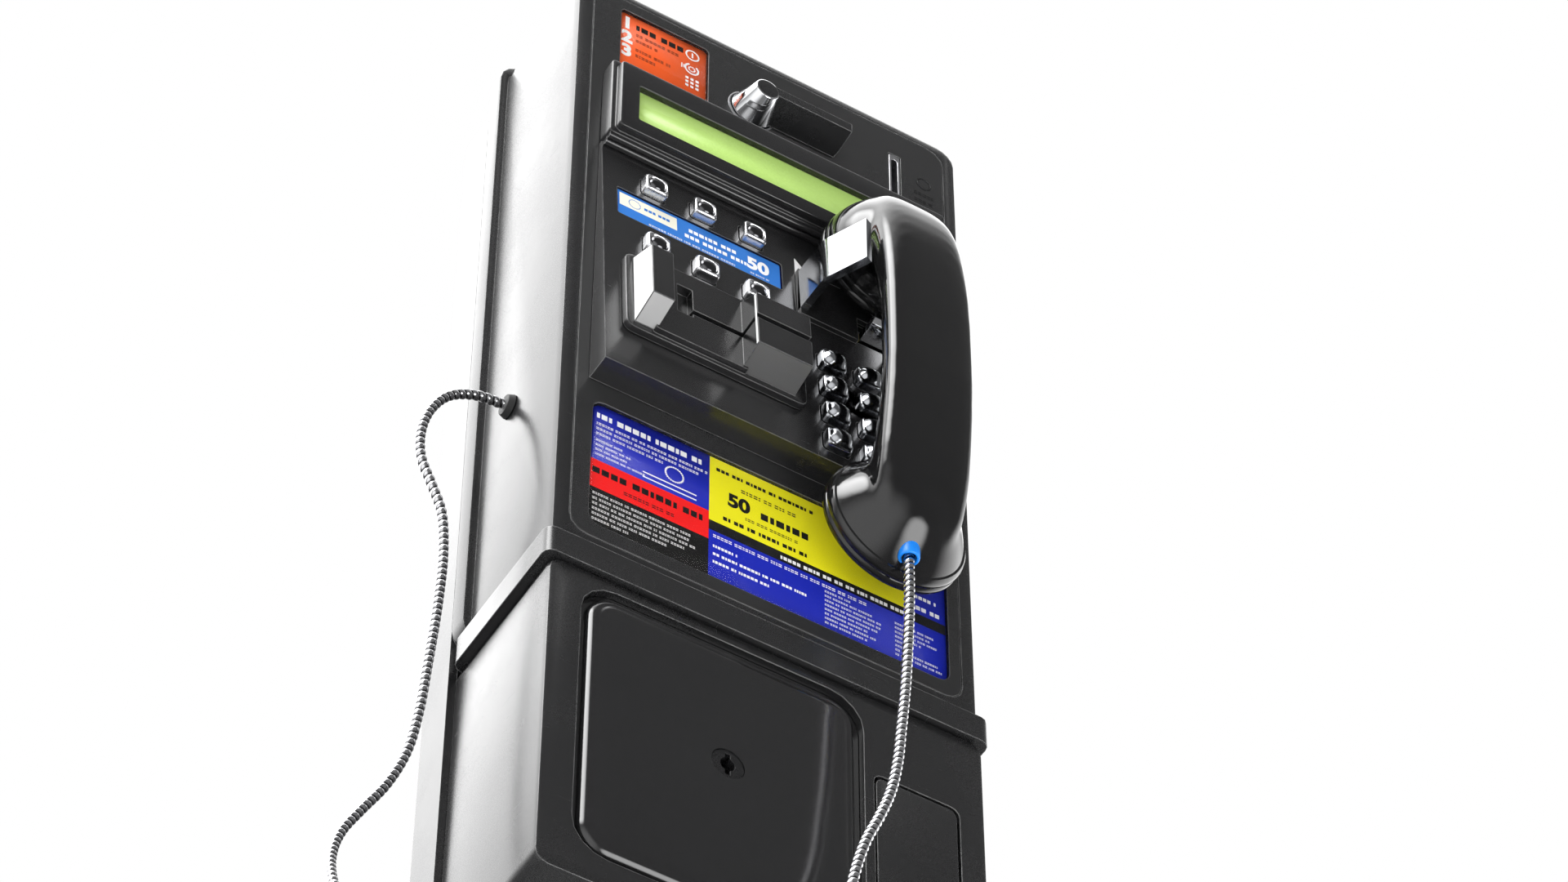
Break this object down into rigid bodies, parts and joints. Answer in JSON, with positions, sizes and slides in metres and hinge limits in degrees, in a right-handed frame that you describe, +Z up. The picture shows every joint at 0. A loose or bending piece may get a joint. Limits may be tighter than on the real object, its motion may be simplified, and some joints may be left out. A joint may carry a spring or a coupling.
{
  "type": "payphone",
  "caption": "Wall-mounted coin payphone with a card reader, a keypad, a display and a handset on an armoured cord over a locked coin vault",
  "frame": {"origin": "on the wall, at the middle of the wall plate's back face", "axes": "+X to the right of someone facing the phone, +Y into the wall, +Z up"},
  "size_m": [0.2589, 0.142, 0.6432],
  "materials": {
    "black_paint": "satin black enamel, glossier along worn edges",
    "panel_paint": "fine satin black enamel",
    "console_plastic": "satin moulded black plastic",
    "gloss_black": "polished moulded black plastic",
    "chrome": "bright chrome plating",
    "dark_chrome": "dark smoked chrome",
    "steel": "bare brushed stainless steel",
    "clear": "clear polished window",
    "display_green": "backlit yellow-green display",
    "card_orange": "printed orange instruction card",
    "card_blue": "printed blue information card",
    "blue_plastic": "moulded bright blue sleeve",
    "board_green": "green circuit board",
    "grey_plastic": "grey moulded plastic",
    "rubber": "black rubber"
  },
  "bodies": {
    "housing": {"wall_plate": "steel", "rear_housing": "black_paint", "upper_housing": "black_paint", "lower_housing": "black_paint", "face_panel": "panel_paint", "instruction_card": "card_orange", "instruction_window": "clear", "info_card": "card_blue", "info_window": "clear", "rate_card": "card_blue", "display_bezel": "console_plastic", "display_lens": "clear", "display_module": "display_green", "console": "console_plastic", "card_reader_bezel": "console_plastic", "card_reader_head": "steel", "keypad_board": "board_green", "button_board": "board_green", "cradle": "dark_chrome", "hook_pin": "steel", "coin_slot_insert": "steel", "coin_validator": "grey_plastic", "coin_chute": "steel", "escrow_hopper": "grey_plastic", "main_board": "board_green", "coin_box": "steel", "return_bucket": "steel", "flap_pin": "steel", "cord": "steel", "cord_grommet": "rubber"},
    "handset": {"handset_shell": "gloss_black", "earpiece_cap": "gloss_black", "mouthpiece_cap": "gloss_black", "receiver_capsule": "steel", "transmitter_capsule": "steel", "cord_ferrule": "blue_plastic"},
    "hook_lever": {"hook_lever": "chrome"},
    "key_01": {"key_01": "dark_chrome"},
    "key_02": {"key_02": "dark_chrome"},
    "key_03": {"key_03": "dark_chrome"},
    "key_04": {"key_04": "dark_chrome"},
    "key_05": {"key_05": "dark_chrome"},
    "key_06": {"key_06": "dark_chrome"},
    "key_07": {"key_07": "dark_chrome"},
    "key_08": {"key_08": "dark_chrome"},
    "key_09": {"key_09": "dark_chrome"},
    "key_10": {"key_10": "dark_chrome"},
    "key_11": {"key_11": "dark_chrome"},
    "key_12": {"key_12": "dark_chrome"},
    "quick_button_1": {"quick_button_1": "chrome"},
    "quick_button_2": {"quick_button_2": "chrome"},
    "quick_button_3": {"quick_button_3": "chrome"},
    "quick_button_4": {"quick_button_4": "chrome"},
    "quick_button_5": {"quick_button_5": "chrome"},
    "quick_button_6": {"quick_button_6": "chrome"},
    "coin_lever": {"coin_lever": "dark_chrome"},
    "return_flap": {"return_flap": "black_paint"},
    "vault_door": {"vault_door": "black_paint"},
    "vault_lock": {"vault_lock": "steel"}
  },
  "joints": [
    {"name": "handset_lift", "type": "slide", "parent": "housing", "child": "handset", "axis": [0, -0.8, 0.6], "range_m": [0, 0.1]},
    {"name": "hook_rise", "type": "hinge", "parent": "housing", "child": "hook_lever", "pos_m": [0.046, -0.082, 0.1055], "axis": [-1, 0, 0], "range_deg": [0, 12.1]},
    {"name": "key_01_press", "type": "slide", "parent": "housing", "child": "key_01", "axis": [0, 0.9974, -0.0725], "range_m": [0, 0.002], "stiffness_N_per_m": 500, "springref_m": -0.001},
    {"name": "key_02_press", "type": "slide", "parent": "housing", "child": "key_02", "axis": [0, 0.9974, -0.0725], "range_m": [0, 0.002], "stiffness_N_per_m": 500, "springref_m": -0.001},
    {"name": "key_03_press", "type": "slide", "parent": "housing", "child": "key_03", "axis": [0, 0.9974, -0.0725], "range_m": [0, 0.002], "stiffness_N_per_m": 500, "springref_m": -0.001},
    {"name": "key_04_press", "type": "slide", "parent": "housing", "child": "key_04", "axis": [0, 0.9974, -0.0725], "range_m": [0, 0.002], "stiffness_N_per_m": 500, "springref_m": -0.001},
    {"name": "key_05_press", "type": "slide", "parent": "housing", "child": "key_05", "axis": [0, 0.9974, -0.0725], "range_m": [0, 0.002], "stiffness_N_per_m": 500, "springref_m": -0.001},
    {"name": "key_06_press", "type": "slide", "parent": "housing", "child": "key_06", "axis": [0, 0.9974, -0.0725], "range_m": [0, 0.002], "stiffness_N_per_m": 500, "springref_m": -0.001},
    {"name": "key_07_press", "type": "slide", "parent": "housing", "child": "key_07", "axis": [0, 0.9974, -0.0725], "range_m": [0, 0.002], "stiffness_N_per_m": 500, "springref_m": -0.001},
    {"name": "key_08_press", "type": "slide", "parent": "housing", "child": "key_08", "axis": [0, 0.9974, -0.0725], "range_m": [0, 0.002], "stiffness_N_per_m": 500, "springref_m": -0.001},
    {"name": "key_09_press", "type": "slide", "parent": "housing", "child": "key_09", "axis": [0, 0.9974, -0.0725], "range_m": [0, 0.002], "stiffness_N_per_m": 500, "springref_m": -0.001},
    {"name": "key_10_press", "type": "slide", "parent": "housing", "child": "key_10", "axis": [0, 0.9974, -0.0725], "range_m": [0, 0.002], "stiffness_N_per_m": 500, "springref_m": -0.001},
    {"name": "key_11_press", "type": "slide", "parent": "housing", "child": "key_11", "axis": [0, 0.9974, -0.0725], "range_m": [0, 0.002], "stiffness_N_per_m": 500, "springref_m": -0.001},
    {"name": "key_12_press", "type": "slide", "parent": "housing", "child": "key_12", "axis": [0, 0.9974, -0.0725], "range_m": [0, 0.002], "stiffness_N_per_m": 500, "springref_m": -0.001},
    {"name": "quick_button_1_press", "type": "slide", "parent": "housing", "child": "quick_button_1", "axis": [0, 0.9974, -0.0725], "range_m": [0, 0.002], "stiffness_N_per_m": 500, "springref_m": -0.001},
    {"name": "quick_button_2_press", "type": "slide", "parent": "housing", "child": "quick_button_2", "axis": [0, 0.9974, -0.0725], "range_m": [0, 0.002], "stiffness_N_per_m": 500, "springref_m": -0.001},
    {"name": "quick_button_3_press", "type": "slide", "parent": "housing", "child": "quick_button_3", "axis": [0, 0.9974, -0.0725], "range_m": [0, 0.002], "stiffness_N_per_m": 500, "springref_m": -0.001},
    {"name": "quick_button_4_press", "type": "slide", "parent": "housing", "child": "quick_button_4", "axis": [0, 0.9974, -0.0725], "range_m": [0, 0.002], "stiffness_N_per_m": 500, "springref_m": -0.001},
    {"name": "quick_button_5_press", "type": "slide", "parent": "housing", "child": "quick_button_5", "axis": [0, 0.9974, -0.0725], "range_m": [0, 0.002], "stiffness_N_per_m": 500, "springref_m": -0.001},
    {"name": "quick_button_6_press", "type": "slide", "parent": "housing", "child": "quick_button_6", "axis": [0, 0.9974, -0.0725], "range_m": [0, 0.002], "stiffness_N_per_m": 500, "springref_m": -0.001},
    {"name": "coin_lever_turn", "type": "hinge", "parent": "housing", "child": "coin_lever", "pos_m": [-0.0097, -0.09, 0.2315], "axis": [0, 1, 0], "range_deg": [0, 18], "stiffness_Nm_per_rad": 0.05, "springref_deg": -17.19},
    {"name": "return_flap_push", "type": "hinge", "parent": "housing", "child": "return_flap", "pos_m": [0.0646, -0.0883, -0.1435], "axis": [1, 0, 0], "range_deg": [0, 35], "stiffness_Nm_per_rad": 0.02, "springref_deg": -11.46},
    {"name": "vault_door_pull", "type": "slide", "parent": "housing", "child": "vault_door", "axis": [0, -1, 0], "range_m": [0, 0.018]},
    {"name": "vault_lock_turn", "type": "hinge", "parent": "vault_door", "child": "vault_lock", "pos_m": [-0.0181, -0.09, -0.1695], "axis": [0, 1, 0], "range_deg": [0, 90]}
  ],
  "couplings": [
    {"joint": "hook_rise", "follows": "handset_lift", "rad_per_m": 2.1}
  ]
}
